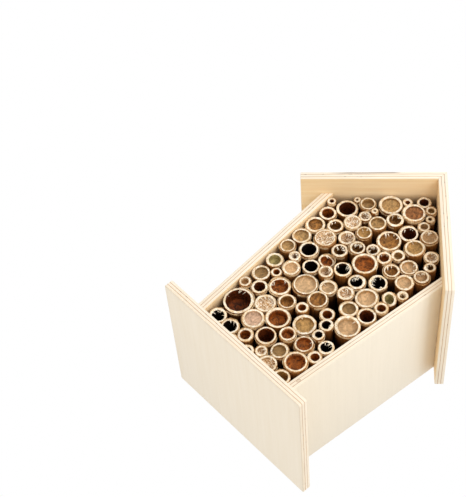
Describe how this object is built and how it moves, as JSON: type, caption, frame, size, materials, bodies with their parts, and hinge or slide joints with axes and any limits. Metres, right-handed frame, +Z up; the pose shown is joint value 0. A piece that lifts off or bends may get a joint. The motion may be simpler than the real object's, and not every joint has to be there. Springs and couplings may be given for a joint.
{
  "type": "insect hotel",
  "caption": "House-shaped insect hotel: a pitched plywood shelter with leaning walls, packed from back board to open front with hollow cane nesting tubes.",
  "frame": {"origin": "on the ground, in the middle of the house's width and depth", "axes": "+Z up to the ridge, the cane mouths facing -Y, +X to the right seen from the front"},
  "size_m": [0.1132, 0.09, 0.1601],
  "materials": {
    "plywood": "unfinished sanded birch plywood",
    "cane": "natural sawn cane"
  },
  "bodies": {
    "root": {"base_panel": "plywood", "left_wall": "plywood", "right_wall": "plywood", "left_roof": "plywood", "right_roof": "plywood", "back_board": "plywood", "canes_01": "cane", "canes_02": "cane", "canes_03": "cane", "canes_04": "cane", "canes_05": "cane", "canes_06": "cane", "canes_07": "cane", "canes_08": "cane", "canes_09": "cane", "canes_10": "cane", "canes_11": "cane", "canes_12": "cane", "canes_13": "cane", "canes_14": "cane", "canes_15": "cane", "canes_16": "cane", "canes_17": "cane", "canes_18": "cane", "canes_19": "cane", "canes_20": "cane", "canes_21": "cane", "canes_22": "cane", "canes_23": "cane", "canes_24": "cane", "canes_25": "cane", "canes_26": "cane", "canes_27": "cane", "canes_28": "cane", "canes_29": "cane", "canes_30": "cane", "canes_31": "cane", "canes_32": "cane", "canes_33": "cane", "canes_34": "cane", "canes_35": "cane", "canes_36": "cane", "canes_37": "cane", "canes_38": "cane", "canes_39": "cane", "canes_40": "cane", "canes_41": "cane", "canes_42": "cane", "canes_43": "cane", "canes_44": "cane", "canes_45": "cane", "canes_46": "cane", "canes_47": "cane"}
  },
  "joints": []
}
